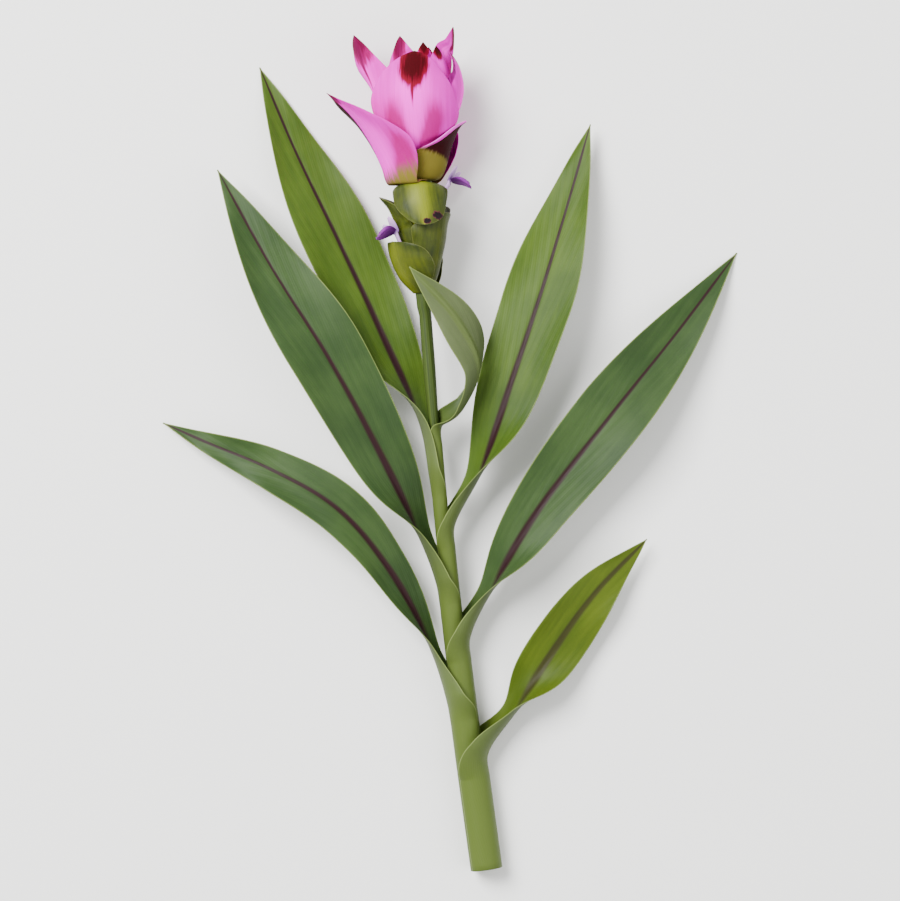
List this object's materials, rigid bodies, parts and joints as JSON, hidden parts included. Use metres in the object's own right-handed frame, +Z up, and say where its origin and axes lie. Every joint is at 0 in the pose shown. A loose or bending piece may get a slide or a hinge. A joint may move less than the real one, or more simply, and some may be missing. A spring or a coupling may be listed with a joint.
{
  "type": "siam tulip",
  "caption": "Cut flowering stem of a siam tulip, lying down: pink coma of bracts over green pouched bracts with small violet florets, and strap leaves on a sheathed stalk.",
  "frame": {"origin": "middle of the foot of the whole flower's box, on the surface that it lies on", "axes": "+Y from the cut end towards the bloom, +X to the right of the flower seen from above, +Z up"},
  "size_m": [0.2976, 0.4337, 0.0555],
  "materials": {
    "stalk": "satin, fresh plant stalk",
    "leaf": "satin, living leaf",
    "young_leaf": "satin, living leaf of a lighter green",
    "green_bract": "satin, waxy yellow-green bract",
    "pink_bract": "soft satin, waxy pink bract with dark red tip",
    "floret_petal": "soft matte petal",
    "floret_lip": "soft matte petal"
  },
  "bodies": {
    "root": {"flower_stalk": "stalk", "leaf_1": "young_leaf", "leaf_2": "leaf", "leaf_3": "leaf", "leaf_4": "leaf", "leaf_5": "young_leaf", "leaf_6": "young_leaf", "leaf_7": "leaf", "green_bract_1": "green_bract", "green_bract_2": "green_bract", "green_bract_3": "green_bract", "green_bract_4": "green_bract", "green_bract_5": "green_bract", "green_bract_6": "green_bract", "pink_bract_1": "pink_bract", "pink_bract_2": "pink_bract", "pink_bract_3": "pink_bract", "pink_bract_4": "pink_bract", "pink_bract_5": "pink_bract", "pink_bract_6": "pink_bract", "pink_bract_7": "pink_bract", "pink_bract_8": "pink_bract", "pink_bract_9": "pink_bract", "pink_bract_10": "pink_bract", "pink_bract_11": "pink_bract", "pink_bract_12": "pink_bract", "pink_bract_13": "pink_bract", "pink_bract_14": "pink_bract", "floret_left": "floret_petal", "floret_right": "floret_petal", "floret_left_lip": "floret_lip", "floret_right_lip": "floret_lip"}
  },
  "joints": []
}
